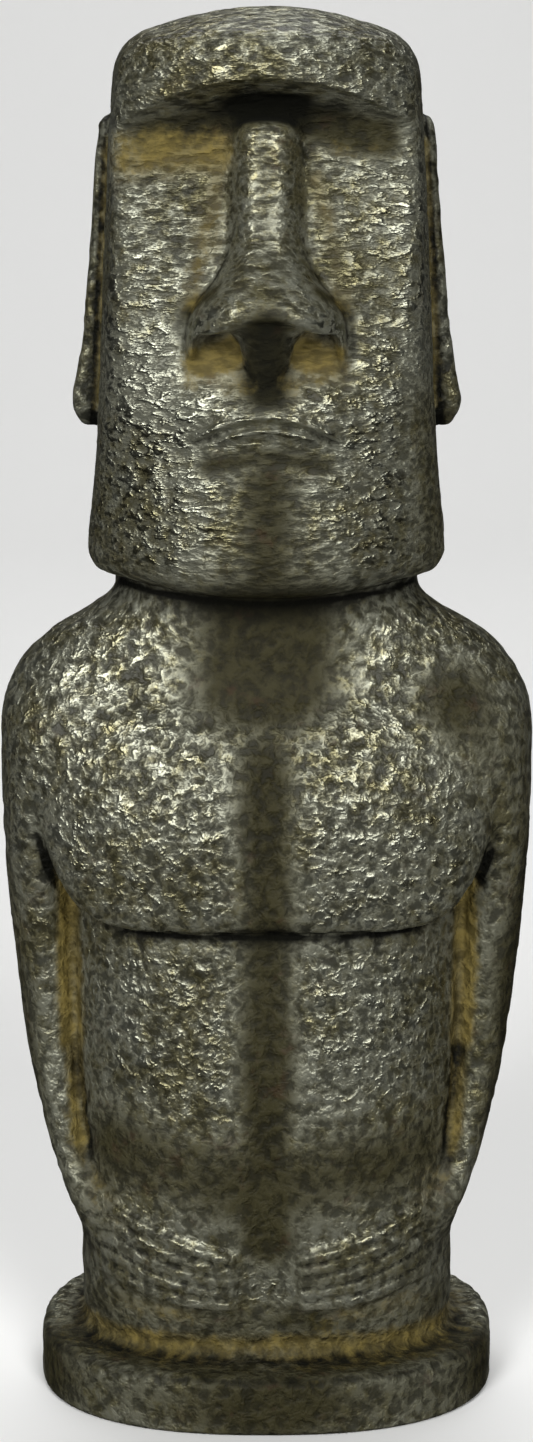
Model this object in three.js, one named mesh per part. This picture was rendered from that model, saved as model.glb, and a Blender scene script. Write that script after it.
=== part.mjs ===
// A moai desk figure, cast in one piece with the low oval base that it stands on.
// The form is written as a distance: each member is a function that is negative inside it, and the
// members are joined with fillets. The figure is then meshed on a grid and its flat stretches thinned.
// Millimetres. X is the figure's left, Y runs front to back, Z is up, and the origin is the middle
// of the underside. Every member is symmetric, so each works with side, the distance from X = 0.
import * as THREE from "three";

// Driving dimensions. A curve is a list of [height, size] stations with a smooth line through them.
const base = { halfWidth: 30.4, halfDepth: 24.5, thickness: 7.7, power: 2.4, edge: 1.8 };

const torso = {
  halfWidth: [[6, 24.2], [9, 24.4], [11, 24.9], [22, 24.8], [40, 25.3], [60, 26], [85, 27]],
  front: [[6, 16.6], [9, 16.9], [11, 17.6], [20, 18.9], [32, 19.6], [45, 19.4], [60, 18.3], [85, 17]],
  power: 2.6,
  top: 84,
  baseFillet: 2.4,
};

const back = {
  depth: [
    [6, 16.4], [14, 17.8], [24, 18.2], [42, 16.4], [60, 16.8], [78, 18.4], [90, 17.6], [98, 14.8], [110, 13],
  ],
  furrowDepth: 0.9,
  furrowWidth: 2.6,
  bladeRise: 0.8,
};

const chest = {
  halfWidth: [
    [60, 33.2], [80, 33.6], [88, 33.9], [92, 33.4], [95, 32.5], [98, 30.9], [101, 27.9], [104, 23.2],
    [107, 19.6], [112, 18],
  ],
  front: [[60, 20.2], [68, 21], [76, 21.3], [83, 20.2], [89, 17.9], [94, 15], [98, 13.4], [107, 12.2]],
  power: 2.7,
  pecLow: 64.6,
  armpitHeight: 15.4,
  armpitHalfWidth: 29.9,
  pecCurve: 8,
  pecEdge: 2.4,
  sternumDepth: 0.7,
  sternumWidth: 3.2,
};

const arm = {
  outer: [
    [20, 23.4], [24, 25.1], [28, 26.7], [34, 28.8], [40, 30.5], [46, 31.8], [56, 33.1], [66, 34.1],
    [78, 34.7], [87, 34.4], [94, 32.4], [100, 28.5],
  ],
  inner: [[20, 20.4], [30, 22.6], [45, 24], [66, 24.4], [80, 24], [100, 19]],
  middle: [[20, -9.5], [26, -7.6], [32, -5], [40, -2.4], [50, -0.4], [66, 0.2], [80, -0.4], [100, 0]],
  halfDepth: [
    [20, 4.4], [26, 5.4], [32, 6.4], [40, 7.8], [50, 9], [66, 10.8], [80, 12.4], [90, 11.6], [100, 8],
  ],
  power: 2.3,
  low: 24,
  top: 98,
  crease: 1.1,
  web: { side: 25.5, halfWidth: 3.4, share: 0.74 },
};

const hand = {
  tip: 3.4,
  knuckle: 20,
  low: [[3.4, 14.4], [9, 14.5], [14, 15.3], [20, 17.2]],
  high: [[3.4, 22.2], [9, 23.6], [14, 25.4], [20, 28]],
  fingers: 5,
  rise: 1,
  groove: 0.6,
  edge: 0.7,
};

const neck = { halfWidth: 17, front: 13.2, back: 13.4, power: 2.3, fillet: 5, low: 88, top: 116 };

const head = {
  halfWidth: [
    [100, 22.2], [107, 22.9], [112.5, 23], [120, 22.3], [127, 21.7], [140, 21.1], [155, 20.4],
    [168, 19.6], [176, 18.9], [182, 18.4],
  ],
  sideDepth: 24,
  back: [[98, 12], [108, 13.6], [118, 15.6], [132, 16.8], [150, 17.4], [166, 17.2], [176, 16.2], [182, 15.4]],
  power: 3.2,
  centre: 1,
  top: 180,
  domeAcross: 80,
  domeAlong: 90,
  domeEdge: 4,
  chin: 106.7,
  chinRise: 0.006,
  chinEdge: 2.4,
};

const face = {
  depth: [
    [104, 20.6], [110, 21.7], [115, 21.9], [120, 21.2], [125, 20.5], [130, 20.4], [135, 19.3],
    [141, 18], [150, 16.3], [162, 14.4], [170, 14],
  ],
  bow: [[104, 0.021], [112, 0.02], [130, 0.012], [145, 0.005], [162, 0.003]],
};

const brow = {
  depth: 20.9,
  bow: 0.02,
  lean: 0.14,
  middle: 169.5,
  drop: 4.2,
  halfSpan: 17,
  coveLow: 161.8,
  coveCurve: 4,
};

const nose = {
  root: 11,
  top: 165.4,
  depth: [
    [130, 24], [136.8, 26.2], [140.3, 26.7], [142.8, 26], [145.8, 23.6], [149.6, 20.9], [154, 19.5],
    [160, 18.6], [165, 18], [172, 17],
  ],
  halfWidth: [
    [132, 10], [137.6, 10.4], [141, 10.1], [143.5, 8.7], [146, 6.7], [149, 5.3], [152, 4.8], [165, 4.5],
    [172, 4.4],
  ],
  power: 2.8,
  rim: 141,
  wingDrop: 3.2,
  wingSpan: 10.2,
  underSlope: 0.3,
  edge: 1.2,
  septum: { front: [20.8, 141], back: [18.4, 134.4], frontRadius: 4, backRadius: 2.6, fillet: 0.8 },
  nostril: { side: 6.2, depth: 20.8, height: 137.6, radii: [2.6, 3.6, 2.8] },
};

const mouth = {
  line: 129.4,
  droop: 3.3,
  halfSpan: 9.4,
  lowerHalfSpan: 6.4,
  muzzle: 0.8,
  underLip: 0.8,
};

const ear = {
  low: 127.4,
  high: 166.8,
  middle: 1.2,
  halfDepth: 4.6,
  round: 3.4,
  outer: [
    [124, 22.6], [128, 24.2], [130.7, 25], [134, 24.4], [140, 23.5], [150, 22.6], [162, 21.6], [168, 21],
  ],
  hollow: 0.9,
  rim: 1.5,
  fillet: 0.7,
};

// Mesh settings: the grid's cell, the finer rows over the fingers and lips, the faces kept, and how
// much more the face and hands count when the mesh is thinned.
const mesh = {
  cell: 0.85,
  fineRow: 0.42,
  fineBands: [[13, 29], [125.5, 132.5], [163.5, 172]],
  faces: 9600,
  care: 6,
};

// ---- Small maths ----

const clamp = (value, low, high) => Math.min(Math.max(value, low), high);
const mix = (a, b, share) => a + (b - a) * share;
const bell = (offset, width) => Math.exp(-((offset / width) ** 2));

function ramp(low, high, value) {
  const t = clamp((value - low) / (high - low), 0, 1);
  return t * t * (3 - 2 * t);
}

// Joins two distances with a fillet about k wide, or trims one by the other with a rounded edge.
function join(a, b, k) {
  const h = Math.max(k - Math.abs(a - b), 0) / k;
  return Math.min(a, b) - (h * h * k) / 4;
}
const trim = (a, b, k) => -join(-a, -b, k);

// A smooth line through [place, size] stations, flat beyond both ends.
function curve(stations) {
  const last = stations.length - 1;
  const slopes = stations.map((_, i) => {
    const [before, after] = [stations[Math.max(i - 1, 0)], stations[Math.min(i + 1, last)]];
    return (after[1] - before[1]) / (after[0] - before[0]);
  });
  return (place) => {
    let i = 0;
    while (i < last - 1 && place > stations[i + 1][0]) i++;
    const [[p0, v0], [p1, v1]] = [stations[i], stations[i + 1]];
    const t = clamp((place - p0) / (p1 - p0), 0, 1);
    const bulge = (1 - t) * slopes[i] * (p1 - p0) - t * slopes[i + 1] * (p1 - p0);
    return mix(v0, v1, t * t * (3 - 2 * t)) + t * (1 - t) * bulge;
  };
}

const curves = {
  torsoWidth: curve(torso.halfWidth),
  torsoFront: curve(torso.front),
  back: curve(back.depth),
  chestWidth: curve(chest.halfWidth),
  chestFront: curve(chest.front),
  armOuter: curve(arm.outer),
  armInner: curve(arm.inner),
  armMiddle: curve(arm.middle),
  armDepth: curve(arm.halfDepth),
  handLow: curve(hand.low),
  handHigh: curve(hand.high),
  headWidth: curve(head.halfWidth),
  headBack: curve(head.back),
  faceDepth: curve(face.depth),
  faceBow: curve(face.bow),
  noseDepth: curve(nose.depth),
  noseWidth: curve(nose.halfWidth),
  earOuter: curve(ear.outer),
};

// How far a point is outside a superellipse about the origin, measured towards its middle.
function oval(x, y, halfWidth, halfDepth, power) {
  const far = Math.abs(x / halfWidth) ** power + Math.abs(y / halfDepth) ** power;
  const share = Math.max(far ** (1 / power), 1e-3);
  return Math.hypot(x, y) * (1 - 1 / share);
}

// ---- The members ----

function baseAt(side, y, z) {
  const plan = oval(side, y, base.halfWidth, base.halfDepth, base.power);
  return trim(trim(plan, z - base.thickness, base.edge), -z, base.edge / 2);
}

// Each hand lies flat on the belly: a pad with the fingers as ridges, falling away at its outline.
function handRise(side, z) {
  const low = curves.handLow(side);
  const high = curves.handHigh(side);
  const across = ((z - low) / (high - low)) * hand.fingers;
  const finger = 2 * (across - Math.floor(across)) - 1;
  const ridge = hand.rise - hand.groove * finger ** 4;
  const within = ramp(low - hand.edge, low + hand.edge / 2, z) - ramp(high - hand.edge, high + hand.edge, z);
  const pastTip = ramp(hand.tip - hand.edge, hand.tip + 2, side);
  const along = pastTip - ramp(hand.knuckle - 1, hand.knuckle + 4, side);
  return ridge * Math.max(within, 0) * Math.max(along, 0);
}

function torsoAt(side, y, z) {
  const isFront = y < 0;
  const depth = isFront ? curves.torsoFront(z) : curves.back(z);
  const plan = oval(side, y, curves.torsoWidth(z), depth, torso.power);
  const faded = ramp(-9, -13, y);
  return trim(plan - faded * handRise(side, z), z - torso.top, 6);
}

// The chest's lower edge runs level under the pectorals and climbs steeply to each armpit.
function chestAt(side, y, z) {
  const depth = y < 0 ? curves.chestFront(z) : curves.back(z);
  const plan = oval(side, y, curves.chestWidth(z), depth, chest.power);
  const across = side / chest.armpitHalfWidth;
  const edge = chest.pecLow + chest.armpitHeight * across ** chest.pecCurve;
  const steepest = (chest.armpitHeight * chest.pecCurve) / chest.armpitHalfWidth;
  const slope = steepest * across ** (chest.pecCurve - 1);
  const below = (edge - z) / Math.hypot(1, slope);
  return trim(plan, below, mix(chest.pecEdge, 14, ramp(-4, 8, y)));
}

function armAt(side, y, z) {
  const [outer, inner] = [curves.armOuter(z), curves.armInner(z)];
  const [forward, depth] = [y - curves.armMiddle(z), curves.armDepth(z)];
  const limb = oval(side - (outer + inner) / 2, forward, (outer - inner) / 2, depth, arm.power);
  const { web } = arm;
  const floor = oval(side - web.side, forward, web.halfWidth, depth * web.share, 4);
  const both = join(limb, Math.max(floor, side - outer + 1), 1);
  return trim(trim(both, z - arm.top, 8), arm.low - z, 7);
}

function neckAt(side, y, z) {
  const plan = oval(side, y, neck.halfWidth, y < 0 ? neck.front : neck.back, neck.power);
  return Math.max(plan, z - neck.top, neck.low - z);
}

// Thin lips in a downturned line: the upper ridge, a faint rim above it and a shorter lower ridge.
function mouthRise(side, z) {
  const line = mouth.line - mouth.droop * (side / (mouth.halfSpan + 0.8)) ** 1.8;
  const wide = 1 - ramp(mouth.halfSpan - 2, mouth.halfSpan + 0.6, side);
  const short = 1 - ramp(mouth.lowerHalfSpan - 1.5, mouth.lowerHalfSpan + 0.5, side);
  const upper = bell(z - line, 0.55) * wide;
  const rim = 0.3 * bell(z - line - 1.15, 0.4) * short;
  const slit = -0.6 * bell(z - line + 0.9, 0.4) * wide;
  const lower = 0.9 * bell(z - line + 1.7, 0.5) * short;
  const muzzle = mouth.muzzle * bell(side, 9) * bell(z - mouth.line, 5);
  const under = -mouth.underLip * bell(side, 8) * bell(z - mouth.line + 5, 2.4);
  return upper + rim + slit + lower + muzzle + under;
}

// How far the face stands forward: flat cheeks, a cove, and the brow's arched ledge above it.
function faceFront(side, z) {
  const cheek = curves.faceDepth(z) - curves.faceBow(z) * side ** 2;
  const ledge = brow.middle - brow.drop * (side / brow.halfSpan) ** 2;
  const forehead = brow.depth - brow.bow * side ** 2 - brow.lean * Math.max(z - brow.middle, 0);
  const up = clamp((z - brow.coveLow) / Math.max(ledge - brow.coveLow, 1), 0, 1);
  return mix(cheek, forehead, up ** brow.coveCurve) + mouthRise(side, z);
}

function noseAt(side, y, z) {
  const forward = Math.min(y + nose.root, 0);
  const plan = oval(side, forward, curves.noseWidth(z), curves.noseDepth(z) - nose.root, nose.power);
  const bridge = trim(Math.max(plan, y + nose.root - 3), z - nose.top, 3);
  const drop = nose.wingDrop * (side / nose.wingSpan) ** 2 + nose.underSlope * (y + 26.4);
  const wings = trim(bridge, nose.rim - drop - z, nose.edge);
  const { nostril, septum } = nose;
  const [rx, ry, rz] = nostril.radii;
  const inside = Math.hypot((side - nostril.side) / rx, (y + nostril.depth) / ry, (z - nostril.height) / rz);
  const hollowed = trim(wings, (1 - inside) * rz, 1);
  const [runY, runZ] = [septum.front[0] - septum.back[0], septum.front[1] - septum.back[1]];
  const reach = ((-y - septum.back[0]) * runY + (z - septum.back[1]) * runZ) / (runY ** 2 + runZ ** 2);
  const t = clamp(reach, 0, 1);
  const off = Math.hypot(side, -y - septum.back[0] - t * runY, z - septum.back[1] - t * runZ);
  return join(hollowed, off - mix(septum.backRadius, septum.frontRadius, t), septum.fillet);
}

// A long flat ear with a raised rim, standing off the head's side and swelling at its lobe.
function earAt(side, y, z) {
  const [halfHeight, middle] = [(ear.high - ear.low) / 2, (ear.high + ear.low) / 2];
  const dy = Math.abs(y - ear.middle) - ear.halfDepth + ear.round;
  const dz = Math.abs(z - middle) - halfHeight + ear.round;
  const outline = Math.hypot(Math.max(dy, 0), Math.max(dz, 0)) + Math.min(Math.max(dy, dz), 0) - ear.round;
  const bowl = ear.hollow * ramp(-ear.rim, -ear.rim - 1, outline) * ramp(ear.low + 6, ear.low + 9, z);
  return trim(outline, side - curves.earOuter(z) + bowl, 1.2);
}

function headAt(side, y, z) {
  const depth = y < head.centre ? head.sideDepth : curves.headBack(z);
  const sides = oval(side, y - head.centre, curves.headWidth(z), depth, head.power);
  const dome = head.top - side ** 2 / head.domeAcross - (y - head.centre) ** 2 / head.domeAlong;
  const chin = head.chin + head.chinRise * side ** 2;
  const block = trim(trim(sides, z - dome, head.domeEdge), chin - z, mix(head.chinEdge, 14, ramp(-9, 8, y)));
  const skull = trim(block, (-y - faceFront(side, z)) * 0.9, mix(5, 1.6, ramp(112, 138, z)));
  const withNose = join(skull, noseAt(side, y, z), mix(0.6, 1.6, ramp(142, 160, z)));
  return join(withNose, earAt(side, y, z), ear.fillet);
}

function figureAt(x, y, z) {
  const side = Math.abs(x);
  let found = Infinity;
  if (z < 18) found = baseAt(side, y, z);
  if (z < 92) {
    found = join(found, torsoAt(side, y, z), torso.baseFillet);
    const run = ramp(8, 20, z) * (1 - ramp(54, 64, z));
    found += y < 0 ? chest.sternumDepth * bell(side, chest.sternumWidth) * run : 0;
  }
  if (z > 54 && z < 116) {
    const run = ramp(66, 76, z) * (1 - ramp(84, 96, z));
    const valley = y < 0 ? chest.sternumDepth * bell(side, chest.sternumWidth) * run : 0;
    found = join(found, chestAt(side, y, z) + valley, 1);
  }
  if (z > 12 && z < 106) {
    const fillet = mix(mix(6, arm.crease, ramp(23, 38, z)), 7, ramp(76, 94, z));
    found = join(found, armAt(side, y, z), fillet);
  }
  if (y > 0 && z < 100) {
    const furrow = back.furrowDepth * bell(side, back.furrowWidth) * ramp(12, 26, z) * (1 - ramp(84, 96, z));
    found += furrow - back.bladeRise * bell(side - 12, 6) * bell(z - 80, 9);
  }
  if (z > 84 && z < 124) found = join(found, neckAt(side, y, z), neck.fillet);
  if (z > 96) found = join(found, headAt(side, y, z), mix(1.2, 6, ramp(-6, 8, y)));
  return Math.max(found, -z);
}

// ---- Meshing ----

function gridLines(low, high, stepAt) {
  const lines = [low];
  for (let at = low; at < high; at += stepAt(at)) lines.push(at + stepAt(at));
  return lines;
}

// A grid face whose opposite corners match would tie two sheets together, so an outside corner is filled.
function untie(values, step) {
  const pairs = [[step[0], step[1]], [step[1], step[2]], [step[2], step[0]]];
  let ties = 1;
  while (ties) {
    ties = 0;
    for (let at = 0; at < values.length - step[1] - step[2]; at++)
      for (const [u, w] of pairs) {
        const inside = values[at] < 0;
        if (inside !== values[at + u + w] < 0) continue;
        if (inside === values[at + u] < 0 || inside === values[at + w] < 0) continue;
        const [a, b] = inside ? [at + u, at + w] : [at, at + u + w];
        values[values[a] < values[b] ? a : b] = -1e-4;
        ties++;
      }
  }
}

// One vertex in each grid cell that the surface crosses, and one quad for each crossed grid edge.
function surfaceMesh(distance, lines) {
  const [nx, ny, nz] = lines.map((line) => line.length);
  const index = (i, j, k) => (k * ny + j) * nx + i;
  const values = new Float32Array(nx * ny * nz);
  for (let k = 0; k < nz; k++)
    for (let j = 0; j < ny; j++)
      for (let i = 0; i < nx; i++)
        values[index(i, j, k)] = distance(lines[0][i], lines[1][j], lines[2][k]);
  const step = [index(1, 0, 0), index(0, 1, 0), index(0, 0, 1)];
  untie(values, step);

  const vertexOf = new Int32Array(values.length).fill(-1);
  const points = [];
  const corners = [0, 1, 2, 3, 4, 5, 6, 7].map((c) => [c & 1, (c >> 1) & 1, c >> 2]);
  const edges = corners.flatMap((a, i) => [1, 2, 4].filter((bit) => !(i & bit)).map((bit) => [i, i | bit]));
  for (let k = 0; k < nz - 1; k++)
    for (let j = 0; j < ny - 1; j++)
      for (let i = 0; i < nx - 1; i++) {
        const v = corners.map(([a, b, c]) => values[index(i + a, j + b, k + c)]);
        const crossed = edges.filter(([a, b]) => v[a] < 0 !== v[b] < 0);
        if (!crossed.length) continue;
        const sum = [0, 0, 0];
        for (const [a, b] of crossed) {
          const t = v[a] / (v[a] - v[b]);
          for (let axis = 0; axis < 3; axis++)
            sum[axis] += mix(corners[a][axis], corners[b][axis], t) / crossed.length;
        }
        vertexOf[index(i, j, k)] = points.length;
        points.push([i, j, k].map((n, axis) => mix(lines[axis][n], lines[axis][n + 1], sum[axis])));
      }

  const triangles = [];
  for (let k = 1; k < nz - 1; k++)
    for (let j = 1; j < ny - 1; j++)
      for (let i = 1; i < nx - 1; i++) {
        const at = index(i, j, k);
        for (let axis = 0; axis < 3; axis++) {
          const inside = values[at] < 0;
          if (inside === values[at + step[axis]] < 0) continue;
          const [u, w] = [step[(axis + 1) % 3], step[(axis + 2) % 3]];
          const [a, b, c, d] = [at, at - u, at - u - w, at - w].map((n) => vertexOf[n]);
          if (inside) triangles.push([a, b, c], [a, c, d]);
          else triangles.push([c, b, a], [d, c, a]);
        }
      }
  return { points, triangles };
}

// Moves each vertex onto the true surface, along the slope of the distance.
function settle(points, distance) {
  const h = 0.02;
  for (const p of points)
    for (let round = 0; round < 3; round++) {
      const here = distance(...p);
      const slope = [0, 1, 2].map((axis) => {
        const q = p.slice();
        q[axis] += h;
        return (distance(...q) - here) / h;
      });
      const steep = Math.max(slope[0] ** 2 + slope[1] ** 2 + slope[2] ** 2, 0.2);
      const move = clamp(here, -0.3, 0.3) / steep;
      for (let axis = 0; axis < 3; axis++) p[axis] -= move * slope[axis];
    }
}

// ---- Thinning: the edge whose loss changes the surface least is collapsed first ----

const cross = (a, b) => [a[1] * b[2] - a[2] * b[1], a[2] * b[0] - a[0] * b[2], a[0] * b[1] - a[1] * b[0]];
const less = (a, b) => [a[0] - b[0], a[1] - b[1], a[2] - b[2]];
const dot = (a, b) => a[0] * b[0] + a[1] * b[1] + a[2] * b[2];
const normalOf = (a, b, c) => cross(less(b, a), less(c, a));

// A quadric holds the area-weighted squared distance to planes, with a light pull towards a point.
const newQuadric = () => new Float64Array(10);
function addPlane(q, [a, b, c], d, weight) {
  const row = [a * a, a * b, a * c, a * d, b * b, b * c, b * d, c * c, c * d, d * d];
  row.forEach((value, i) => (q[i] += weight * value));
}
function quadricCost(q, [x, y, z]) {
  const squares = q[0] * x * x + q[4] * y * y + q[7] * z * z;
  const products = q[1] * x * y + q[2] * x * z + q[5] * y * z;
  return squares + 2 * (products + q[3] * x + q[6] * y + q[8] * z) + q[9];
}
function bestPoint(q, fallback) {
  const [a, b, c] = [[q[0], q[1], q[2]], [q[1], q[4], q[5]], [q[2], q[5], q[7]]];
  const determinant = dot(a, cross(b, c));
  if (Math.abs(determinant) < 1e-9) return fallback;
  const right = [-q[3], -q[6], -q[8]];
  const [bc, ca, ab] = [cross(b, c), cross(c, a), cross(a, b)];
  return [0, 1, 2].map((i) => (right[0] * bc[i] + right[1] * ca[i] + right[2] * ab[i]) / determinant);
}

// A binary heap of edges, cheapest first.
class Heap {
  items = [];
  push(item) {
    const list = this.items;
    let i = list.push(item) - 1;
    while (i > 0) {
      const parent = (i - 1) >> 1;
      if (list[parent].cost <= item.cost) break;
      list[i] = list[parent];
      i = parent;
    }
    list[i] = item;
  }
  pop() {
    const list = this.items;
    const top = list[0];
    const item = list.pop();
    const size = list.length;
    let i = 0;
    while (2 * i + 1 < size) {
      let child = 2 * i + 1;
      if (child + 1 < size && list[child + 1].cost < list[child].cost) child++;
      if (list[child].cost >= item.cost) break;
      list[i] = list[child];
      i = child;
    }
    if (size) list[i] = item;
    return top;
  }
}

function thinned({ points, triangles }, wanted) {
  const faces = triangles.map((t) => t.slice());
  const around = points.map(() => new Set());
  const quadrics = points.map(newQuadric);
  const isFine = ([, y, z]) => y < -9 && (z > 104 || z < 29);
  const stamp = new Int32Array(points.length);
  faces.forEach((f, n) => {
    const corners = f.map((v) => points[v]);
    const normal = normalOf(...corners);
    const area = Math.hypot(...normal) || 1e-12;
    const unit = normal.map((value) => value / area);
    const weight = area * (isFine(corners[0]) ? mesh.care : 1);
    for (const v of f) {
      around[v].add(n);
      addPlane(quadrics[v], unit, -dot(unit, corners[0]), weight);
      for (let axis = 0; axis < 3; axis++) {
        const along = [0, 1, 2].map((i) => (i === axis ? 1 : 0));
        addPlane(quadrics[v], along, -points[v][axis], area * 2e-3);
      }
    }
  });

  const neighbours = (v) => new Set([...around[v]].flatMap((n) => faces[n]).filter((w) => w !== v));
  const heap = new Heap();
  const offer = (a, b) => {
    const q = quadrics[a].map((value, i) => value + quadrics[b][i]);
    const middle = points[a].map((value, i) => (value + points[b][i]) / 2);
    const place = bestPoint(q, middle);
    heap.push({ cost: quadricCost(q, place), a, b, place, stamps: stamp[a] + stamp[b] });
  };
  points.forEach((_, v) => neighbours(v).forEach((w) => v < w && offer(v, w)));

  const turnsOver = (v, other, place) =>
    [...around[v]].some((n) => {
      const f = faces[n];
      if (f.includes(other)) return false;
      const before = normalOf(...f.map((w) => points[w]));
      const after = normalOf(...f.map((w) => (w === v ? place : points[w])));
      return dot(before, after) < 0.3 * Math.hypot(...before) * Math.hypot(...after) + 1e-9;
    });

  let left = faces.length;
  while (left > wanted && heap.items.length) {
    const { a, b, place, stamps } = heap.pop();
    if (!around[a].size || !around[b].size || stamps !== stamp[a] + stamp[b]) continue;
    const shared = neighbours(b);
    const common = [...neighbours(a)].filter((v) => shared.has(v));
    if (common.length !== 2 || turnsOver(a, b, place) || turnsOver(b, a, place)) continue;
    for (const n of [...around[b]]) {
      if (faces[n].includes(a)) {
        faces[n].forEach((v) => around[v].delete(n));
        faces[n] = null;
        left--;
      } else {
        faces[n] = faces[n].map((v) => (v === b ? a : v));
        around[a].add(n);
      }
    }
    around[b].clear();
    points[a] = place;
    quadrics[a] = quadrics[a].map((value, i) => value + quadrics[b][i]);
    stamp[a] += 1 + stamp[b];
    neighbours(a).forEach((v) => offer(a, v));
  }
  return { points, triangles: faces.filter(Boolean) };
}

function geometryOf({ points, triangles }) {
  const numberOf = new Map();
  const kept = [];
  const place = (v) => {
    if (!numberOf.has(v)) {
      numberOf.set(v, kept.length / 3);
      const [x, y, z] = points[v];
      kept.push(x, y, Math.abs(z) < 0.01 ? 0 : z);
    }
    return numberOf.get(v);
  };
  const indices = triangles.flatMap((t) => t.map(place));
  const geometry = new THREE.BufferGeometry();
  geometry.setAttribute("position", new THREE.Float32BufferAttribute(kept, 3));
  geometry.setIndex(indices);
  geometry.computeVertexNormals();
  return geometry;
}

const rowStep = (z) => (mesh.fineBands.some(([low, high]) => z > low && z < high) ? mesh.fineRow : mesh.cell);
const lines = [
  gridLines(-37, 37, () => mesh.cell),
  gridLines(-29, 27, () => mesh.cell),
  gridLines(-1.3, 183, rowStep),
];
const surface = surfaceMesh(figureAt, lines);
settle(surface.points, figureAt);

const darkResin = new THREE.MeshStandardMaterial({ color: 0x4a4637, roughness: 0.45, metalness: 0.15 });
const moai = new THREE.Mesh(geometryOf(thinned(surface, mesh.faces)), darkResin);
moai.name = "moai_figure";

const figure = new THREE.Group();
figure.add(moai);
export default figure;
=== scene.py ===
import bpy
import math
import numpy as np
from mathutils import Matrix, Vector


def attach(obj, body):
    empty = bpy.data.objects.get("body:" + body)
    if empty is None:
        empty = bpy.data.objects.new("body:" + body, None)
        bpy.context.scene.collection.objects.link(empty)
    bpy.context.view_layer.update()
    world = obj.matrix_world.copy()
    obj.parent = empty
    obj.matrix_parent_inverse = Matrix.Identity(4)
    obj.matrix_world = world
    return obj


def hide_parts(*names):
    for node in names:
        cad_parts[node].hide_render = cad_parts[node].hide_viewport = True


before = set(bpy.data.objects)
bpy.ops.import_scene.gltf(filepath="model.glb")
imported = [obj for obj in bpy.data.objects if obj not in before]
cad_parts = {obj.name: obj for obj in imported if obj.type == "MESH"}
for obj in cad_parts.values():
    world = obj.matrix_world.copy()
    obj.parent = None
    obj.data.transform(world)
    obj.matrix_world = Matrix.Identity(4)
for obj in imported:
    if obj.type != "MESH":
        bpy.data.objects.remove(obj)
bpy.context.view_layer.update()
print("frame loaded")


# The figure's form is one distance, in millimetres, that is negative inside, and the mesh is its zero
# surface. Each member has a dictionary and a function of its own. A curve is a list of (height, size)
# stations, a run is the heights between which something fades in, or in and out, and side is how far a
# point lies from the middle plane, because the two halves mirror each other.
def mix(a, b, share):
    return a + (b - a) * share


def bell(offset, width):
    return np.exp(-(offset / width) ** 2)


def ramp(low, high, value):
    t = np.clip((value - low) / (high - low), 0, 1)
    return t * t * (3 - 2 * t)


def stretch(run, value):  # fades in over the run's first two values and out over its last two
    return ramp(run[0], run[1], value) * (1 - ramp(run[2], run[3], value))


def join(a, b, k):  # the nearer of two distances, with a fillet about k wide
    h = np.maximum(k - np.abs(a - b), 0) / k
    return np.minimum(a, b) - h * h * k / 4


def trim(a, b, k):  # what two forms share, with an edge about k wide
    return -join(-a, -b, k)


def curve(stations):  # a smooth line through the stations, flat beyond both ends
    place, size = (np.array(column, float) for column in zip(*stations))
    slope = np.empty(len(place))
    slope[1:-1] = (size[2:] - size[:-2]) / (place[2:] - place[:-2])
    slope[0] = (size[1] - size[0]) / (place[1] - place[0])
    slope[-1] = (size[-1] - size[-2]) / (place[-1] - place[-2])

    def at(value):
        i = np.clip(np.searchsorted(place, value) - 1, 0, len(place) - 2)
        gap = place[i + 1] - place[i]
        t = np.clip((value - place[i]) / gap, 0, 1)
        bulge = ((1 - t) * slope[i] - t * slope[i + 1]) * gap
        return mix(size[i], size[i + 1], t * t * (3 - 2 * t)) + t * (1 - t) * bulge

    return at


def oval(x, y, halfWidth, halfDepth, power):  # a power above 2 squares the oval's corners
    far = np.abs(x / halfWidth) ** power + np.abs(y / halfDepth) ** power
    share = np.maximum(far ** (1 / power), 1e-3)
    return np.hypot(x, y) * (1 - 1 / share)


base = {"halfWidth": 30.4, "halfDepth": 24.5, "thickness": 7.7, "power": 2.4, "edge": 1.8}


def baseAt(side, y, z):
    plan = oval(side, y, base["halfWidth"], base["halfDepth"], base["power"])
    return trim(trim(plan, z - base["thickness"], base["edge"]), -z, base["edge"] / 2)


# The hands lie flat on the belly, each as a row of low finger ridges.
hand = {
    "tip": 3.4,
    "tipFade": 2,
    "knuckle": 20,
    "knuckleFade": (1, 4),
    "low": [(3.4, 14.4), (9, 14.5), (14, 15.3), (20, 17.2)],
    "high": [(3.4, 22.2), (9, 23.6), (14, 25.4), (20, 28)],
    "fingers": 5,
    "rise": 1,
    "groove": 0.6,
    "groovePower": 4,
    "edge": 0.7,
    "front": (-9, -13),
}
handLow, handHigh = curve(hand["low"]), curve(hand["high"])


def handRise(side, z):
    low, high = handLow(side), handHigh(side)
    across = (z - low) / (high - low) * hand["fingers"]
    finger = 2 * (across - np.floor(across)) - 1
    ridge = hand["rise"] - hand["groove"] * finger ** hand["groovePower"]
    soft, tip, knuckle = hand["edge"], hand["tip"], hand["knuckle"]
    before, after = hand["knuckleFade"]
    within = ramp(low - soft, low + soft / 2, z) - ramp(high - soft, high + soft, z)
    along = ramp(tip - soft, tip + hand["tipFade"], side) - ramp(knuckle - before, knuckle + after, side)
    return ridge * np.maximum(within, 0) * np.maximum(along, 0)


torso = {
    "halfWidth": [(6, 24.2), (9, 24.4), (11, 24.9), (22, 24.8), (40, 25.3), (60, 26), (85, 27)],
    "front": [(6, 16.6), (9, 16.9), (11, 17.6), (20, 18.9), (32, 19.6), (45, 19.4), (60, 18.3), (85, 17)],
    "power": 2.6,
    "top": 84,
    "topRound": 6,
    "baseFillet": 2.4,
}

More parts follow.
